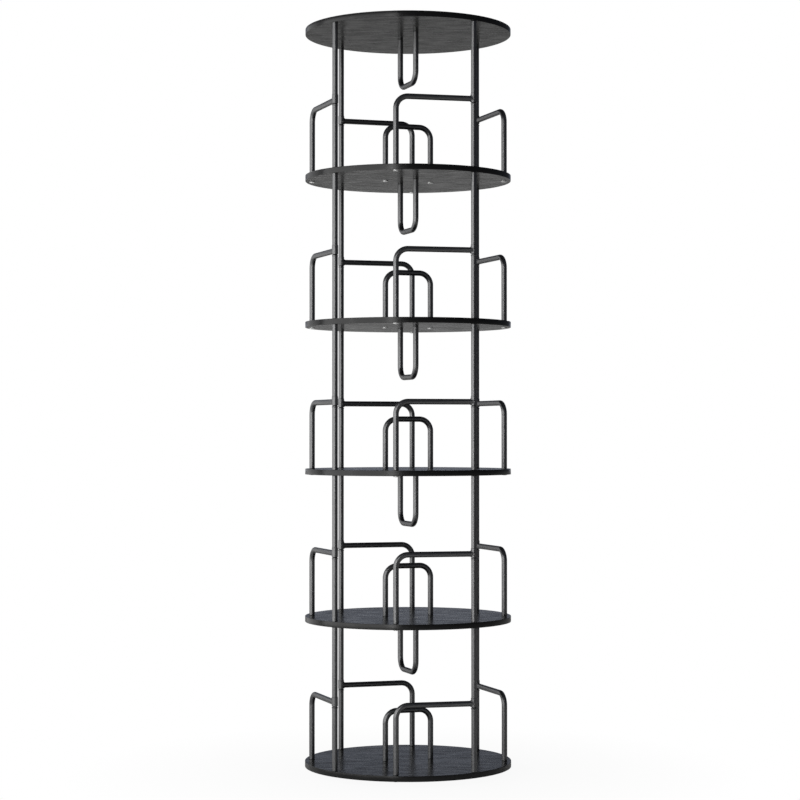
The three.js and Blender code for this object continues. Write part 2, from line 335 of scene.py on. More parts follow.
def spaced(radius, count, first=0.0):
    """Points evenly round a circle."""
    return [on_circle(radius, first + 2 * pi * i / count) for i in range(count)]


def placed(points, height, way):
    """The points at this height, each to be turned the same way."""
    return [((point.x, point.y, height), way) for point in points]


pads = [f"rubber_pad_{i + 1}" for i in range(PAD_COUNT)]
low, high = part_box(pads[0])
pad_radius = (high.x - low.x) / 2
pad_circle = hypot(low.x + high.x, low.y + high.y) / 2
pad = turned("pad", [
    (0, 0),
    *rounded_edge(pad_radius, 0, PAD_EDGE_RADIUS, -1)[::-1],
    *rounded_edge(pad_radius, base_low.z, PAD_EDGE_RADIUS, 1),
    (0, base_low.z),
], PAD_FACETS, moulded_rubber)
pad_places = placed(spaced(pad_circle, PAD_COUNT, pi / PAD_COUNT), 0, UPWARD)
foot_pads = copies_at("foot_pads", pad, pad_places, moulded_rubber)
hand_over(foot_pads, "base", "foot_rubber", *pads)

# Ball cage: a moulded nylon ring with a collar round each of its twelve steel balls, which roll
# in the race between the two rings. It turns at half the speed of the tower.
BALL_COUNT = 12
BALL_RADIUS = 2 * MM
BALL_FACETS = 24
CAGE_FACETS = 144
CAGE_THICKNESS = 1.4 * MM
CAGE_HEIGHT = 2.4 * MM
CAGE_EDGE_RADIUS = 0.3 * MM
CAGE_COLLAR_LENGTH = 5.8 * MM
CAGE_COLLAR_THICKNESS = 2 * MM
CAGE_COLLAR_HEIGHT = 3.2 * MM
NYLON_CLOUD = 6 * MM
POLISH_MARK = 0.5 * MM
POLISHED_ROUGHNESS = (0.06, 0.16)

# Moulded natural nylon: milky off-white, a little cloudy, with a soft satin sheen.
moulded_nylon, tree, shader, place = new_material(
    "moulded_natural_nylon", "#dad8cf", roughness=0.45)
cloud = patches(tree, place, [NYLON_CLOUD] * 3)
vary_colour(tree, shader, cloud, linear("#d2cfc4"), linear("#e2e0d8"))

# Ground bearing steel: nearly mirror bright, with a trace of polishing marks.
bearing_steel, tree, shader, place = new_material(
    "ground_bearing_steel", "#c4c5c6", roughness=0.1, metallic=1.0)
polish = patches(tree, place, [POLISH_MARK] * 3)
vary_roughness(tree, shader, polish, *POLISHED_ROUGHNESS)

inner, outer = RACE_RADIUS - CAGE_THICKNESS / 2, RACE_RADIUS + CAGE_THICKNESS / 2
cage_foot, cage_head = race_height - CAGE_HEIGHT / 2, race_height + CAGE_HEIGHT / 2
cage_ring = turned("cage_ring", [
    *rounded_edge(outer, cage_foot, CAGE_EDGE_RADIUS, -1)[::-1],
    *rounded_edge(outer, cage_head, CAGE_EDGE_RADIUS, 1),
    (inner, cage_head),
    (inner, cage_foot),
], CAGE_FACETS, moulded_nylon)
collar = turned("collar", [
    (0, -CAGE_COLLAR_HEIGHT / 2),
    (CAGE_COLLAR_LENGTH / 2, -CAGE_COLLAR_HEIGHT / 2),
    (CAGE_COLLAR_LENGTH / 2, CAGE_COLLAR_HEIGHT / 2),
    (0, CAGE_COLLAR_HEIGHT / 2),
], BALL_FACETS, moulded_nylon)
collar.data.transform(Matrix.Scale(CAGE_COLLAR_THICKNESS / CAGE_COLLAR_LENGTH, 4, (1, 0, 0)))
ball_places = [
    ((point.x, point.y, race_height), (0, 0, atan2(point.y, point.x)))
    for point in spaced(RACE_RADIUS, BALL_COUNT)
]
cage_collars = copies_at("cage_collars", collar, ball_places, moulded_nylon)
half_turn = [2 * pi * step / BALL_FACETS for step in range(BALL_FACETS // 2 + 1)]
ball = turned("ball", [(BALL_RADIUS * abs(sin(a)), -BALL_RADIUS * cos(a)) for a in half_turn],
              BALL_FACETS, bearing_steel)
cage_balls = copies_at("cage_balls", ball, ball_places, bearing_steel)
for piece, slot in (
    (cage_ring, "cage_nylon"),
    (cage_collars, "cage_nylon"),
    (cage_balls, "zinc_plate"),
):
    hand_over(piece, "ball_cage", slot, "bearing_ball_cage")

# Top ring of the bearing: the same turned aluminium, with the other half of the race in its outer
# wall. Four countersunk M4 screws hold it from below to the lowest board, and it turns with it.
TOP_RING_WIDTH = 24 * MM
RING_SCREW_COUNT = 4
RING_SCREW_RADIUS = 2 * MM
RING_SCREW_LENGTH = 16.3 * MM
SCREW_FACETS = 40
SCREW_SEED = 7
FLAT_HEAD_SHARE = 1.8
HOLE_CLEARANCE = 0.3 * MM
CUT_OVERRUN = 1 * MM
RECESS_REACH_SHARE = 0.34
RECESS_WIDTH = 0.8 * MM
RECESS_DEPTH = 0.9 * MM
RECESS_TAPER = 0.45
SQUARE = ((-1, -1), (1, -1), (1, 1), (-1, 1))
BOX_FACES = ((3, 2, 1, 0), (4, 5, 6, 7), (0, 1, 5, 4), (1, 2, 6, 5), (2, 3, 7, 6), (3, 0, 4, 7))
ZINC_PATCH = 1.4 * MM
ZINC_ROUGHNESS = (0.44, 0.56)

# Zinc-plated steel, passivated clear: bright and silvery under a pale haze, which is why it is
# only partly metallic, with patches a little bluer, or a little yellower and duller. The plating's
# own grain is finer than 0.1 mm and is drawn 1.4 mm across.
zinc_plate, tree, shader, place = new_material(
    "bright_zinc_plated_steel", "#eff0f0", roughness=0.5, metallic=0.45)
haze = patches(tree, place, [ZINC_PATCH] * 3)
vary_colour(tree, shader, haze, linear("#e9ebed"), linear("#f5f4f0"))
vary_roughness(tree, shader, haze, *ZINC_ROUGHNESS)


def cut(piece, cutter):
    """Cuts the cutter's shape out of the piece, after which the cutter is removed."""
    modifier = piece.modifiers.new("cut", "BOOLEAN")
    modifier.operation = "DIFFERENCE"
    modifier.solver = "EXACT"
    modifier.use_self = True
    modifier.object = cutter
    keep_result(piece)
    bpy.data.objects.remove(cutter)


def bore(piece, hole, places):
    """Bores the same hole at each place."""
    cut(piece, copies_at("holes", hole, places, piece.data.materials[0]))


def flat_head_hole(radius, depth):
    """The cutter for a countersunk hole, open above height 0 and down to -depth."""
    narrow, wide = radius + HOLE_CLEARANCE, radius * FLAT_HEAD_SHARE + HOLE_CLEARANCE
    return turned("countersink", [
        (0, -depth),
        (narrow, -depth),
        (narrow, narrow - wide),
        (wide, 0),
        (wide, CUT_OVERRUN),
        (0, CUT_OVERRUN),
    ], SCREW_FACETS, zinc_plate)


def press_recess(screw, head_radius, face):
    """Presses a cross recess into the screw's face at this height."""
    reach, half = head_radius * RECESS_REACH_SHARE, RECESS_WIDTH / 2
    points, faces = [], []
    for length, width in ((reach, half), (half, reach)):
        faces += [[len(points) + corner for corner in corners] for corners in BOX_FACES]
        for share, height in ((RECESS_TAPER, face - RECESS_DEPTH), (1, face + CUT_OVERRUN)):
            points += [(x * length * share, y * width * share, height) for x, y in SQUARE]
    mesh = bpy.data.meshes.new("recess")
    mesh.from_pydata(points, [], faces)
    mesh.materials.append(zinc_plate)
    cut(screw, new_object("recess", mesh))


def flat_head_screw(radius, length):
    """A countersunk screw, its flat face at height 0 and its shank down to -length."""
    head_radius = radius * FLAT_HEAD_SHARE
    screw = turned("flat_head_screw", [
        (0, -length),
        (radius, -length),
        (radius, radius - head_radius),
        (head_radius, 0),
        (0, 0),
    ], SCREW_FACETS, zinc_plate)
    press_recess(screw, head_radius, 0)
    return screw


outer = top_high.x
foot, head = ring_outline(outer - TOP_RING_WIDTH, outer, top_low.z, top_high.z)
turning_ring = turned("turning_ring", foot + [
    (outer, race_height - groove),
    (RACE_RADIUS - RACE_REACH, race_height),
    (outer, race_height + groove),
] + head, RING_FACETS, turned_aluminium)
ring_screw_points = spaced(outer - TOP_RING_WIDTH / 2, RING_SCREW_COUNT)
ring_screw_places = placed(ring_screw_points, top_low.z, DOWNWARD)
ring_thickness = top_high.z - top_low.z
bore(turning_ring, flat_head_hole(RING_SCREW_RADIUS, ring_thickness + CUT_OVERRUN),
     ring_screw_places)
hand_over(turning_ring, "tower", "bearing_aluminium", "bearing_top_ring")
ring_screws = copies_at("ring_screws", flat_head_screw(RING_SCREW_RADIUS, RING_SCREW_LENGTH),
                        ring_screw_places, zinc_plate, 2 * pi, SCREW_SEED)
hand_over(ring_screws, "tower", "zinc_plate",
          *[f"ring_screw_{i + 1}" for i in range(RING_SCREW_COUNT)])

# Boards: 12 mm particle board faced on both sides with black wood-grain laminate, whose grain
# runs from left to right. Each is sawn round, and bored for the rods that it carries and holds.
BOARD_FACETS = 192
BAND_THICKNESS = 1 * MM
SEAM_BEVEL = 0.12 * MM
ROD_RADIUS = 6 * MM
GUARD_SWEEP = radians(46.6)
GUARD_EDGE_MARGIN = 8.6 * MM
DIVIDER_WIDTH = 105 * MM
STANDING_TURN = radians(20)
HANGING_TURN = radians(-71.5)
STUD_RADIUS = 3 * MM
ROD_SCREW_RADIUS = 2.5 * MM
RING_SCREW_HOLE = 8.3 * MM
GRAIN_WANDER = 12 * MM
WANDER_SIZES = [120 * MM, 60 * MM, 200 * MM]
BAND_SIZES = [45 * MM, 15 * MM, 50 * MM]
PORE_SIZES = [26 * MM, 2.4 * MM, 30 * MM]
BAND_LOW, BAND_HIGH = 0.35, 0.65
PORE_LOW, PORE_HIGH = 0.5, 0.66
DARK_BAND_ROUGHNESS, PALE_BAND_ROUGHNESS = 0.3, 0.2
DARK_BAND_GLOSS, PALE_BAND_GLOSS = 0.07, 0.11
RELIEF_DEPTH = 0.15 * MM
RELIEF_STRENGTH = 0.3

# Black wood-grain melamine laminate: charcoal bands about 15 mm wide that wander along X, the
# paler ones a little glossier, with short darker pores pressed into the face. Real pores are
# about 0.3 mm wide and are drawn 2.4 mm wide.
laminate, tree, shader, place = new_material(
    "black_wood_grain_laminate", "#2a2927", roughness=0.5)
wander = add_node(tree, "ShaderNodeMapRange", {
    "Value": patches(tree, place, WANDER_SIZES),
    "To Min": -GRAIN_WANDER,
    "To Max": GRAIN_WANDER,
})
shift = add_node(tree, "ShaderNodeCombineXYZ", {"Y": wander.outputs["Result"]})
flow = add_node(tree, "ShaderNodeVectorMath", {0: place, 1: shift.outputs[0]}).outputs[0]
bands = patches(tree, flow, BAND_SIZES, detail=4.0)
pores = add_node(tree, "ShaderNodeMapRange", {
    "Value": patches(tree, flow, PORE_SIZES),
    "From Min": PORE_LOW,
    "From Max": PORE_HIGH,
}).outputs["Result"]
paleness = add_node(tree, "ShaderNodeMapRange", {
    "Value": bands,
    "From Min": BAND_LOW,
    "From Max": BAND_HIGH,
}).outputs["Result"]
wood = add_node(tree, "ShaderNodeMix", {
    0: paleness,
    6: linear("#141413"),
    7: linear("#21201f"),
}, data_type="RGBA").outputs[2]
vary_colour(tree, shader, pores, wood, linear("#0d0d0c"))
for socket, dark, pale in (
    ("Roughness", DARK_BAND_ROUGHNESS, PALE_BAND_ROUGHNESS),
    ("Specular IOR Level", DARK_BAND_GLOSS, PALE_BAND_GLOSS),
):
    varied = add_node(tree, "ShaderNodeMapRange", {
        "Value": paleness,
        "To Min": dark,
        "To Max": pale,
    })
    tree.links.new(varied.outputs["Result"], shader.inputs[socket])
relief = add_node(tree, "ShaderNodeMath", {0: bands, 1: pores}, operation="SUBTRACT")
raise_surface(tree, shader, relief.outputs[0], RELIEF_DEPTH, RELIEF_STRENGTH)


def plain_hole(radius, depth):
    """The cutter for a straight hole, open above height 0 and down to -depth."""
    wide = radius + HOLE_CLEARANCE
    return turned("drill", [(0, -depth), (wide, -depth), (wide, CUT_OVERRUN), (0, CUT_OVERRUN)],
                  SCREW_FACETS, zinc_plate)


def upright_point(side):
    low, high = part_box(f"top_bolt_{side}")
    return Vector(((low.x + high.x) / 2, (low.y + high.y) / 2))


board_nodes = [f"shelf_board_{tier}" for tier in TIERS] + ["top_board"]
boards = [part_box(node) for node in board_nodes]
board_radius = boards[0][1].x
board_thickness = boards[0][1].z - boards[0][0].z
through = board_thickness + CUT_OVERRUN
leg_circle = board_radius - GUARD_EDGE_MARGIN - ROD_RADIUS
upright_points = [upright_point(side) for side in SIDES]
leg_points = [on_circle(leg_circle, radians(angle) - GUARD_SWEEP) for angle in SIDES.values()]
standing_points = spaced(DIVIDER_WIDTH / 2, 2, STANDING_TURN)
hanging_points = spaced(DIVIDER_WIDTH / 2, 2, HANGING_TURN)
panel_radius = board_radius - BAND_THICKNESS
for node, (low, high) in zip(board_nodes, boards):
    panel = turned(f"{node}_panel", [
        (0, low.z),
        (panel_radius - SEAM_BEVEL, low.z),
        (panel_radius, low.z + SEAM_BEVEL),
        (panel_radius, high.z - SEAM_BEVEL),
        (panel_radius - SEAM_BEVEL, high.z),
        (0, high.z),
    ], BOARD_FACETS, laminate)
    is_lowest, is_top = node == board_nodes[0], node == board_nodes[-1]
    if is_lowest:
        bore(panel, flat_head_hole(STUD_RADIUS, through),
             placed(upright_points, low.z, DOWNWARD))
        bore(panel, plain_hole(RING_SCREW_RADIUS, RING_SCREW_HOLE),
             placed(ring_screw_points, low.z, DOWNWARD))
    else:
        upright_hole = flat_head_hole if is_top else plain_hole
        bore(panel, upright_hole(STUD_RADIUS, through), placed(upright_points, high.z, UPWARD))
        bore(panel, flat_head_hole(ROD_SCREW_RADIUS, through),
             placed(hanging_points, high.z, UPWARD))
    if not is_top:
        bore(panel, plain_hole(ROD_SCREW_RADIUS, through),
             placed(leg_points + standing_points, high.z, UPWARD))
    hand_over(panel, "tower", "board_laminate", node)

# Edge bands: 1 mm strips of black ABS glued round the sawn edge of every board and trimmed flush
# with both faces, with their corners taken off so that they are kind to the hands.
BAND_EDGE_RADIUS = 0.5 * MM
TRIM_WAVE_SIZES = [25 * MM, 25 * MM, 60 * MM]
TRIM_WAVE_DEPTH = 0.15 * MM
TRIM_WAVE_STRENGTH = 0.3
ABS_ROUGHNESS = (0.2, 0.28)
ABS_GLOSS = 0.35

# Black ABS: smooth and satin, with the long shallow waves that trimming leaves.
edge_abs, tree, shader, place = new_material(
    "black_abs_edge_band", "#111111", roughness=0.25)
shader.inputs["Specular IOR Level"].default_value = ABS_GLOSS
waves = patches(tree, place, TRIM_WAVE_SIZES)
vary_roughness(tree, shader, waves, *ABS_ROUGHNESS)
raise_surface(tree, shader, waves, TRIM_WAVE_DEPTH, TRIM_WAVE_STRENGTH)

for node, (low, high) in zip(board_nodes, boards):
    band = turned(f"{node}_edge_band", [
        *rounded_edge(board_radius, low.z, BAND_EDGE_RADIUS, -1)[::-1],
        *rounded_edge(board_radius, high.z, BAND_EDGE_RADIUS, 1),
        (panel_radius + SEAM_BEVEL, high.z),
        (panel_radius, high.z - SEAM_BEVEL),
        (panel_radius, low.z + SEAM_BEVEL),
        (panel_radius + SEAM_BEVEL, low.z),
    ], BOARD_FACETS, edge_abs)
    hand_over(band, "tower", "board_laminate", node)

# Side frames, four to a tier: an upright of 12 mm steel rod with a short grooved collar on it, and
# a bent guard of the same rod, welded square to the collar and powder coated black with it. The
# guard's leg stands on the shelf, and the upright carries the next board.
ROD_FACETS = 32
BEND_FACETS = 12
BEND_RADIUS = 26 * MM
END_CHAMFER = 0.5 * MM
GUARD_HEIGHT = 144 * MM
COLLAR_WALL = 0.7 * MM
COLLAR_HALF_LENGTH = 12 * MM
COLLAR_END_RADIUS = 0.6 * MM
GROOVE_BELOW_GUARD = 8.6 * MM
GROOVE_WIDTH = 2.4 * MM
GROOVE_DEPTH = 1.8 * MM
WELD_POINTS = 72
WELD_RIPPLES = 18
WELD_RIPPLE_DEPTH = 0.15 * MM
WELD_SIDE_THICKNESS = 0.7 * MM
WELD_CROTCH_THICKNESS = 1.3 * MM
WELD_SIDE_SOFTNESS = 0.15
PEEL_SIZE = 2.5 * MM
PEEL_DEPTH = 0.04 * MM
PEEL_STRENGTH = 0.05
SHEEN_PATCH = 60 * MM
POWDER_ROUGHNESS = (0.30, 0.37)
POWDER_IOR = 1.75
POWDER_GLOSS = 1.0

# Black powder coat: a baked polyester skin, satin black, duller in patches, with the faint
# pebbling that is called orange peel. Its bumps are about 1 mm wide and are drawn 2.5 mm wide.
powder_coat, tree, shader, place = new_material(
    "black_powder_coat_on_steel", "#111215", roughness=0.32)
shader.inputs["IOR"].default_value = POWDER_IOR
shader.inputs["Specular IOR Level"].default_value = POWDER_GLOSS
sheen = patches(tree, place, [SHEEN_PATCH] * 3, detail=3.0)
vary_roughness(tree, shader, sheen, *POWDER_ROUGHNESS)
raise_surface(tree, shader, patches(tree, place, [PEEL_SIZE] * 3), PEEL_DEPTH, PEEL_STRENGTH)

# The tree bends each line's square corners to the radius at its point, gives the line its
# thickness there, and fuses all the lines into one skin.
rod_tree, given, ROD_INPUTS = new_geometry_tree("Rod along lines", {
    "Facets": "NodeSocketInt",
    "Bend facets": "NodeSocketInt",
    "Finish": "NodeSocketMaterial",
})
bend = add_node(rod_tree, "GeometryNodeInputNamedAttribute", {"Name": "bend"}, data_type="FLOAT")
thickness = add_node(rod_tree, "GeometryNodeInputNamedAttribute", {"Name": "thickness"},
                     data_type="FLOAT")
line = add_node(rod_tree, "GeometryNodeMeshToCurve", {"Mesh": given["Geometry"]})
bent = add_node(rod_tree, "GeometryNodeFilletCurve", {
    "Curve": line.outputs["Curve"],
    "Count": given["Bend facets"],
    "Radius": bend.outputs["Attribute"],
}, mode="POLY")
section = add_node(rod_tree, "GeometryNodeCurvePrimitiveCircle", {
    "Resolution": given["Facets"],
    "Radius": 1.0,
})
skin = add_node(rod_tree, "GeometryNodeCurveToMesh", {
    "Curve": bent.outputs["Curve"],
    "Profile Curve": section.outputs["Curve"],
    "Scale": thickness.outputs["Attribute"],
    "Fill Caps": True,
})
fused = add_node(rod_tree, "GeometryNodeMeshBoolean", {
    "Mesh 2": skin.outputs["Mesh"],
    "Self Intersection": True,
}, operation="UNION", solver="EXACT")
end_tree(rod_tree, fused.outputs["Mesh"], given["Finish"])


def rod_mesh(name, lines):
    """Rods along lines. A line is its stations, each a point, a thickness and a bend, and whether
    it closes on itself."""
    points, edges, thicknesses, bends = [], [], [], []
    for stations, closes in lines:
        first, last = len(points), len(points) + len(stations) - 1
        edges += [(i, i + 1) for i in range(first, last)]
        if closes:
            edges.append((last, first))
        for point, thickness, bend in stations:
            points.append(point)
            thicknesses.append(thickness)
            bends.append(bend)
    mesh = bpy.data.meshes.new(name)
    mesh.from_pydata(points, edges, [])
    mesh.attributes.new("thickness", "FLOAT", "POINT").data.foreach_set("value", thicknesses)
    mesh.attributes.new("bend", "FLOAT", "POINT").data.foreach_set("value", bends)
    piece = new_object(name, mesh)
    grow(piece, rod_tree, ROD_INPUTS, {
        "Facets": ROD_FACETS,
        "Bend facets": BEND_FACETS,
        "Finish": powder_coat,
    })
    mesh = piece.data
    bpy.data.objects.remove(piece)
    return mesh


def rod_end(x, height, way):
    """Stations of a chamfered end on a board at this height, which the rod leaves up or down."""
    return [
        ((x, 0, height), ROD_RADIUS - END_CHAMFER, 0.0),
        ((x, 0, height + way * END_CHAMFER), ROD_RADIUS, 0.0),
    ]


def collar_stations():
    """The collar on the upright, with the vee groove near its lower end."""
    wide = ROD_RADIUS + COLLAR_WALL
    bottom, top = GUARD_HEIGHT - COLLAR_HALF_LENGTH, GUARD_HEIGHT + COLLAR_HALF_LENGTH
    groove_height = GUARD_HEIGHT - GROOVE_BELOW_GUARD
    outline = [
        (ROD_RADIUS, bottom),
        (wide, bottom + COLLAR_END_RADIUS),
        (wide, groove_height - GROOVE_WIDTH / 2),
        (wide - GROOVE_DEPTH, groove_height),
        (wide, groove_height + GROOVE_WIDTH / 2),
        (wide, top - COLLAR_END_RADIUS),
        (ROD_RADIUS, top),
    ]
    return [((0, 0, height), radius, 0.0) for radius, height in outline]


def weld_stations():
    """The bead round the guard's end, thin at its sides and thick above and below it."""
    stations = []
    for i in range(WELD_POINTS):
        turn = 2 * pi * i / WELD_POINTS
        out = (ROD_RADIUS + COLLAR_WALL) * hypot(sin(turn), WELD_SIDE_SOFTNESS)
        point = (out, ROD_RADIUS * cos(turn), GUARD_HEIGHT + ROD_RADIUS * sin(turn))
        swell = (WELD_CROTCH_THICKNESS - WELD_SIDE_THICKNESS) * abs(sin(turn))
        ripple = WELD_RIPPLE_DEPTH * cos(WELD_RIPPLES * turn)
        stations.append((point, WELD_SIDE_THICKNESS + swell + ripple, 0.0))
    return stations


def side_frame_mesh(height, span):
    """A side frame with its upright on the axis and its guard along +X, on a shelf at height 0."""
    guard = [
        ((0, 0, GUARD_HEIGHT), ROD_RADIUS, 0.0),
        ((span, 0, GUARD_HEIGHT), ROD_RADIUS, BEND_RADIUS),
    ]
    return rod_mesh("side_frame", [
        (rod_end(0, 0, 1) + collar_stations() + rod_end(0, height, -1)[::-1], False),
        (guard + rod_end(span, 0, 1)[::-1], False),
        (weld_stations(), True),
    ])


def stand(name, mesh, point, height, turn, node):
    """A copy of the rod mesh, turned about Z and stood at this point and height, for the node."""
    piece = new_object(name, mesh.copy())
    place = Matrix.Translation((point.x, point.y, height))
    piece.data.transform(place @ Matrix.Rotation(turn, 4, "Z"))
    hand_over(piece, "tower", "rod_powder_coat", node)


guard_span = (leg_points[0] - upright_points[0]).length
floors = [high.z for low, high in boards[:-1]]
ceilings = [low.z for low, high in boards[1:]]
lowest_mesh = side_frame_mesh(ceilings[0] - floors[0], guard_span)
other_mesh = side_frame_mesh(ceilings[1] - floors[1], guard_span)
for tier in TIERS:
    mesh = lowest_mesh if tier == TIERS[0] else other_mesh
    for side, upright, leg in zip(SIDES, upright_points, leg_points):
        turn = atan2(leg.y - upright.y, leg.x - upright.x)
        stand(f"welded_frame_{tier}_{side}", mesh, upright, floors[tier - 1], turn,
              f"side_frame_{tier}_{side}")

# Dividers, two to a tier, bent from the same coated rod: one stands in the middle of the shelf
# and one hangs from the board above it, turned about a right angle to the first.
DIVIDER_HEIGHT = 108.5 * MM


def divider_mesh(way):
    """A U of rod whose ends meet a board at height 0, bent upwards or downwards from it."""
    half, height = DIVIDER_WIDTH / 2, way * DIVIDER_HEIGHT
    bends = [((x, 0, height), ROD_RADIUS, BEND_RADIUS) for x in (-half, half)]
    return rod_mesh("divider", [
        (rod_end(-half, 0, way) + bends + rod_end(half, 0, way)[::-1], False),
    ])


standing_mesh, hanging_mesh = divider_mesh(1), divider_mesh(-1)
for tier, floor_height, ceiling_height in zip(TIERS, floors, ceilings):
    stand(f"standing_rod_{tier}", standing_mesh, Vector((0, 0)), floor_height, STANDING_TURN,
          f"standing_divider_{tier}")
    stand(f"hanging_rod_{tier}", hanging_mesh, Vector((0, 0)), ceiling_height, HANGING_TURN,
          f"hanging_divider_{tier}")

# Screws of the rods: low truss heads under each board hold the guards' legs and the standing
# divider, and flush countersunk heads in its top hold the divider that hangs below it. Both are
# zinc-plated steel with a cross recess, left at a chance angle.
TRUSS_RADIUS = 6 * MM
TRUSS_HEIGHT = 2.5 * MM
TRUSS_RIM = 1.7 * MM
TRUSS_STEPS = 6
SCREW_BITE = 6 * MM


def truss_head_screw(length):
    """A screw with a low crowned head above height 0, and its shank down to -length."""
    crown = []
    for step in range(TRUSS_STEPS + 1):
        share = 1 - step / TRUSS_STEPS
        rise = (TRUSS_HEIGHT - TRUSS_RIM) * (1 - share ** 2)
        crown.append((TRUSS_RADIUS * share, TRUSS_RIM + rise))
    screw = turned("truss_head_screw", [
        (0, -length),
        (ROD_SCREW_RADIUS, -length),
        (ROD_SCREW_RADIUS, 0),
        (TRUSS_RADIUS, 0),
        *crown,
    ], SCREW_FACETS, zinc_plate)
    press_recess(screw, TRUSS_RADIUS, TRUSS_HEIGHT)
    return screw


truss_places = []
for low, high in boards[:-1]:
    truss_places += placed(leg_points + standing_points, low.z, DOWNWARD)
truss_screws = copies_at("truss_head_screws", truss_head_screw(board_thickness + SCREW_BITE),
                         truss_places, zinc_plate, 2 * pi, SCREW_SEED)
hand_over(truss_screws, "tower", "zinc_plate",
          *[f"side_frame_{tier}_{side}" for tier in TIERS for side in SIDES],
          *[f"standing_divider_{tier}" for tier in TIERS])
sunk_places = []
for low, high in boards[1:]:
    sunk_places += placed(hanging_points, high.z, UPWARD)
sunk_screw = flat_head_screw(ROD_SCREW_RADIUS, board_thickness + SCREW_BITE)
sunk_screws = copies_at("countersunk_screws", sunk_screw, sunk_places, zinc_plate, 2 * pi,
                        SCREW_SEED + 1)
hand_over(sunk_screws, "tower", "zinc_plate", *[f"hanging_divider_{tier}" for tier in TIERS])

# Bolts and studs of the four columns: countersunk M6 bolts close each column at the top and under
# the lowest board, and an M6 stud joins each upright to the next through the board between them.
STUD_ENGAGEMENT = 12 * MM
bolt_length = board_thickness + STUD_ENGAGEMENT
bolt_places = placed(upright_points, boards[0][0].z, DOWNWARD)
bolt_places += placed(upright_points, boards[-1][1].z, UPWARD)
bolts = copies_at("column_bolts", flat_head_screw(STUD_RADIUS, bolt_length), bolt_places,
                  zinc_plate, 2 * pi, SCREW_SEED + 2)
hand_over(bolts, "tower", "zinc_plate",
          *[f"{end}_bolt_{side}" for end in ("bottom", "top") for side in SIDES])
stud = turned("stud", [
    (0, -STUD_ENGAGEMENT),
    (STUD_RADIUS, -STUD_ENGAGEMENT),
    (STUD_RADIUS, board_thickness + STUD_ENGAGEMENT),
    (0, board_thickness + STUD_ENGAGEMENT),
], SCREW_FACETS, zinc_plate)
stud_places = []
for low, high in boards[1:-1]:
    stud_places += placed(upright_points, low.z, UPWARD)
studs = copies_at("column_studs", stud, stud_places, zinc_plate)
hand_over(studs, "tower", "zinc_plate",
          *[f"side_frame_{tier}_{side}" for tier in TIERS[:-1] for side in SIDES])

# The studio: a white floor, a white backdrop with a faintly glowing wall above it, and tall
# softboxes round the left side, with a narrow strip light nearest to the viewer. The rest of the
# room is dark, so the rods and rims stay black on their right.
FLOOR_HALF = 40.0
FLOOR_FADE_START = 0.25
FLOOR_FADE_END = 0.75
FLOOR_GLOW = 0.94
FLOOR_SHINE = 0.2
BACKDROP_HALF_WIDTH = radians(14)
BACKDROP_SOFT_EDGE = radians(12)
BACKDROP_TOP = radians(4)
WALL_GLOW = 0.27
WALL_FADE_START = radians(14)
WALL_FADE_END = radians(28)
ROOM_LIGHT = 0.25
BLUE_BELOW = 0.3
DARK_ROOM = 0.07
LIGHT_DISTANCE = 2.4
LIGHT_CENTRE = 1.05
LIGHT_HEIGHT = 2.2

# Each light's way round to the left from the viewer, its width and its brightness.
LIGHTS = {
    "strip_light": (radians(16), 0.3, 4.2),
    "front_softbox": (radians(40), 2.1, 2.0),
    "side_softbox": (radians(83), 1.9, 2.0),
    "rear_softbox": (radians(132), 1.7, 0.62),
}


def towards_backdrop(tree, place):
    """1 where a place, seen from the turning axis, lies in front of the backdrop, else 0."""
    level = add_node(tree, "ShaderNodeVectorMath", {0: place, 1: (1, 1, 0)}, operation="MULTIPLY")
    level = add_node(tree, "ShaderNodeVectorMath", {0: level.outputs[0]}, operation="NORMALIZE")
    backwards = add_node(tree, "ShaderNodeSeparateXYZ", {0: level.outputs[0]}).outputs["Y"]
    towards = add_node(tree, "ShaderNodeMapRange", {
        "Value": backwards,
        "From Min": cos(BACKDROP_HALF_WIDTH + BACKDROP_SOFT_EDGE),
        "From Max": cos(BACKDROP_HALF_WIDTH),
    })
    return towards.outputs["Result"]


def ray_kinds(tree):
    """1 on rays from the camera, and 1 on those from a gloss or through a glass."""
    rays = add_node(tree, "ShaderNodeLightPath").outputs
    shiny = add_node(tree, "ShaderNodeMath", {
        0: rays["Is Glossy Ray"],
        1: rays["Is Transmission Ray"],
    }, operation="MAXIMUM").outputs[0]
    return rays["Is Camera Ray"], shiny


# The camera sees plain white. A gloss mirrors the backdrop at floor height, the wall above it,
# which is dimmer and a little blue, and the dark room. All else is lit evenly in white.
world = bpy.data.worlds.new("studio")
world.use_nodes = True
bpy.context.scene.world = world
tree = world.node_tree
tree.nodes.clear()
way = add_node(tree, "ShaderNodeTexCoord").outputs["Generated"]
rise = add_node(tree, "ShaderNodeSeparateXYZ", {0: way}).outputs["Z"]
wall = add_node(tree, "ShaderNodeMapRange", {
    "Value": rise,
    "From Min": sin(WALL_FADE_START),
    "From Max": sin(WALL_FADE_END),
    "To Min": 1.0,
    "To Max": 0.0,
})
above_backdrop = add_node(tree, "ShaderNodeMapRange", {
    "Value": rise,
    "From Max": sin(BACKDROP_TOP),
    "To Min": 1.0,
    "To Max": WALL_GLOW,
})
in_height = add_node(tree, "ShaderNodeMath", {
    0: wall.outputs["Result"],
    1: above_backdrop.outputs["Result"],
}, operation="MULTIPLY")
in_sight = add_node(tree, "ShaderNodeMath", {
    0: towards_backdrop(tree, way),
    1: in_height.outputs[0],
}, operation="MULTIPLY")
backdrop = add_node(tree, "ShaderNodeMapRange", {
    "Value": in_sight.outputs[0],
    "To Min": DARK_ROOM,
}).outputs["Result"]
from_camera, from_shiny = ray_kinds(tree)
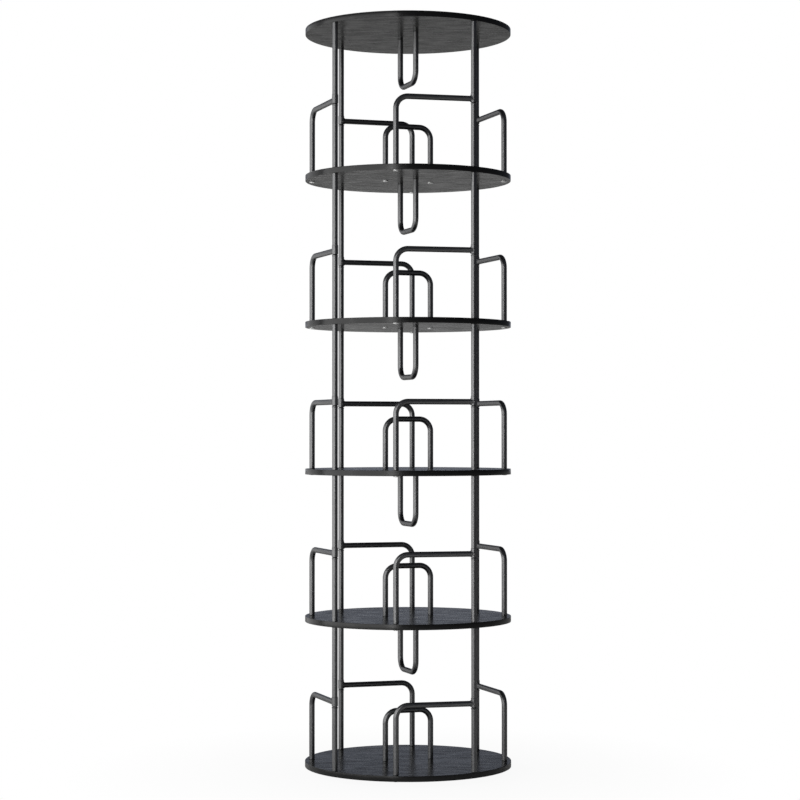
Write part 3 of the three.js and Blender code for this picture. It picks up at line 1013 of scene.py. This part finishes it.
lighting = add_node(tree, "ShaderNodeMix", {
    0: from_shiny,
    2: ROOM_LIGHT,
    3: backdrop,
}, data_type="FLOAT")
strength = add_node(tree, "ShaderNodeMix", {
    0: from_camera,
    2: lighting.outputs[0],
    3: 1.0,
}, data_type="FLOAT")
mirrored = add_node(tree, "ShaderNodeMapRange", {"Value": backdrop, "From Min": BLUE_BELOW})
whiteness = add_node(tree, "ShaderNodeMix", {
    0: from_shiny,
    2: 1.0,
    3: mirrored.outputs["Result"],
}, data_type="FLOAT")
tint = add_node(tree, "ShaderNodeMix", {
    0: whiteness.outputs[0],
    6: linear("#dde6fb"),
    7: linear("#ffffff"),
}, data_type="RGBA")
room = add_node(tree, "ShaderNodeBackground", {
    "Color": tint.outputs[2],
    "Strength": strength.outputs[0],
})
add_node(tree, "ShaderNodeOutputWorld", {"Surface": room.outputs[0]})

floor_mesh = bpy.data.meshes.new("floor")
floor_mesh.from_pydata([(x * FLOOR_HALF, y * FLOOR_HALF, 0) for x, y in SQUARE], [], [(0, 1, 2, 3)])
floor = new_object("floor", floor_mesh)
floor_paint = bpy.data.materials.new("white_studio_floor")
floor_paint.use_nodes = True
floor_mesh.materials.append(floor_paint)
tree = floor_paint.node_tree
tree.nodes.clear()
place = add_node(tree, "ShaderNodeTexCoord").outputs["Object"]
distance = add_node(tree, "ShaderNodeVectorMath", {0: place}, operation="LENGTH").outputs["Value"]
glow = add_node(tree, "ShaderNodeMapRange", {
    "Value": distance,
    "From Min": FLOOR_FADE_START,
    "From Max": FLOOR_FADE_END,
    "To Min": FLOOR_GLOW,
})
from_camera, from_shiny = ray_kinds(tree)
reflected = add_node(tree, "ShaderNodeMapRange", {
    "Value": towards_backdrop(tree, place),
    "To Max": FLOOR_SHINE,
})
shine = add_node(tree, "ShaderNodeMath", {
    0: from_shiny,
    1: reflected.outputs["Result"],
}, operation="MULTIPLY")
seen = add_node(tree, "ShaderNodeMix", {
    0: from_camera,
    2: shine.outputs[0],
    3: 1.0,
}, data_type="FLOAT")
whitened = add_node(tree, "ShaderNodeMath", {
    0: glow.outputs["Result"],
    1: seen.outputs[0],
}, operation="MULTIPLY")
paint = add_node(tree, "ShaderNodeBsdfDiffuse", {"Color": linear("#d4d4d4")})
light = add_node(tree, "ShaderNodeEmission", {"Color": linear("#ffffff"), "Strength": 1.0})
mix = add_node(tree, "ShaderNodeMixShader", {
    0: whitened.outputs[0],
    1: paint.outputs[0],
    2: light.outputs[0],
})
add_node(tree, "ShaderNodeOutputMaterial", {"Surface": mix.outputs[0]})

for name, (way, width, glow) in LIGHTS.items():
    lamp = bpy.data.lights.new(name, "AREA")
    lamp.shape = "RECTANGLE"
    lamp.size, lamp.size_y = width, LIGHT_HEIGHT
    lamp.energy = glow * pi * width * LIGHT_HEIGHT
    light = new_object(name, lamp)
    towards = Vector((-sin(way), -cos(way), 0))
    light.location = towards * LIGHT_DISTANCE + Vector((0, 0, LIGHT_CENTRE))
    light.rotation_euler = (-towards).to_track_quat("-Z", "Y").to_euler()
    light.visible_camera = False

# The camera stands well back, about half way up the bookcase, and looks slightly upwards, so that
# the higher boards show their undersides.
CAMERA_PLACE = (-0.0176, -4.6735, 0.7404)
CAMERA_PITCH = 0.01489
LENS = 96.04
SENSOR_WIDTH = 36.0
view = bpy.data.cameras.new("camera")
view.sensor_fit = "HORIZONTAL"
view.sensor_width = SENSOR_WIDTH
view.lens = LENS
camera = new_object("camera", view)
camera.location = CAMERA_PLACE
camera.rotation_euler = (pi / 2 + CAMERA_PITCH, 0, 0)
bpy.context.scene.camera = camera
bpy.context.scene.view_settings.view_transform = "Standard"
